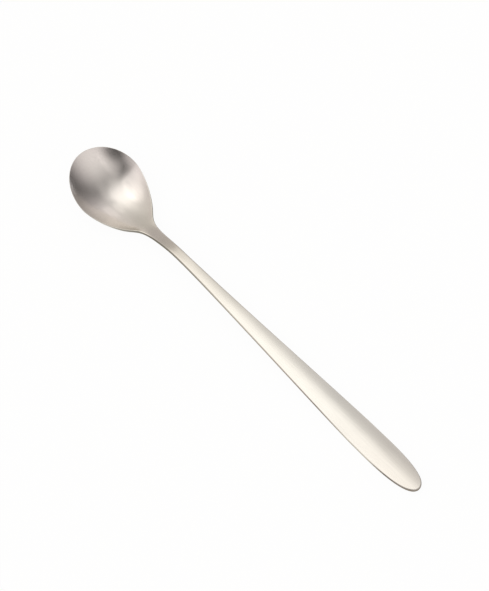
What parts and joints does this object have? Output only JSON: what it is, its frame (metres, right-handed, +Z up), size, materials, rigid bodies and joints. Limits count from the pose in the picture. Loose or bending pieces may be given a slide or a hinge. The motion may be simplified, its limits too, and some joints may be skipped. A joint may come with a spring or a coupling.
{
  "type": "pickle spoon",
  "caption": "Long-handled steel spoon with a small egg-shaped bowl, a slim neck and a handle that widens to a rounded end, for lifting pickle out of a jar.",
  "frame": {"origin": "centre of the spoon's bounding box, on the table plane that it rests on", "axes": "+X along the spoon from the bowl to the end of the handle, +Y across it, +Z up with the bowl's hollow facing up"},
  "size_m": [0.1951, 0.03, 0.0133],
  "materials": {
    "steel": "fine satin stainless steel"
  },
  "bodies": {
    "root": {"spoon": "steel"}
  },
  "joints": []
}
